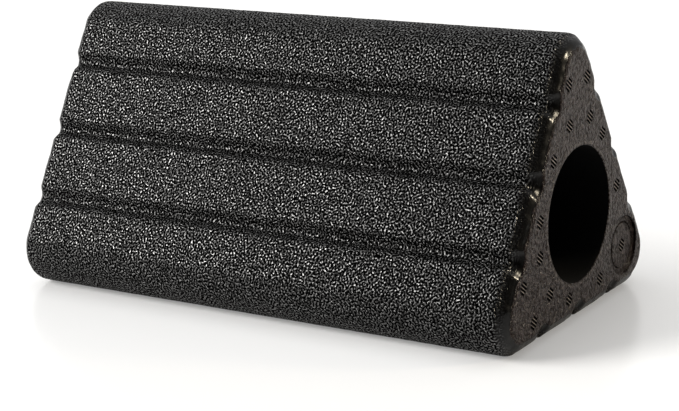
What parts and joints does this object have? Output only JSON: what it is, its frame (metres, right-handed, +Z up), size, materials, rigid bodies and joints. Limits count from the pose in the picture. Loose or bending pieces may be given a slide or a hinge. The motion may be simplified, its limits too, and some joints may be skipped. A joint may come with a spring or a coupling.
{
  "type": "triangle foam roller",
  "caption": "Foam massage roller with a triangular section, large round corners, grooved faces, rounded ends and an open bore along its length, with a round plug in one end face.",
  "frame": {"origin": "middle of the face that the roller lies on, at the bottom centre of its box", "axes": "+X along the roller towards the end with the plug, +Z up, +Y across"},
  "size_m": [0.3, 0.1624, 0.146],
  "materials": {
    "black_bead_foam": "black expanded polypropylene bead foam, coarse leathery grain moulded into the grooved faces, smooth steam skin on the end faces",
    "smooth_foam_skin": "black expanded polypropylene bead foam with a smooth, faintly beaded steam skin"
  },
  "bodies": {
    "root": {"foam_body": "black_bead_foam", "fill_plug": "smooth_foam_skin"}
  },
  "joints": []
}
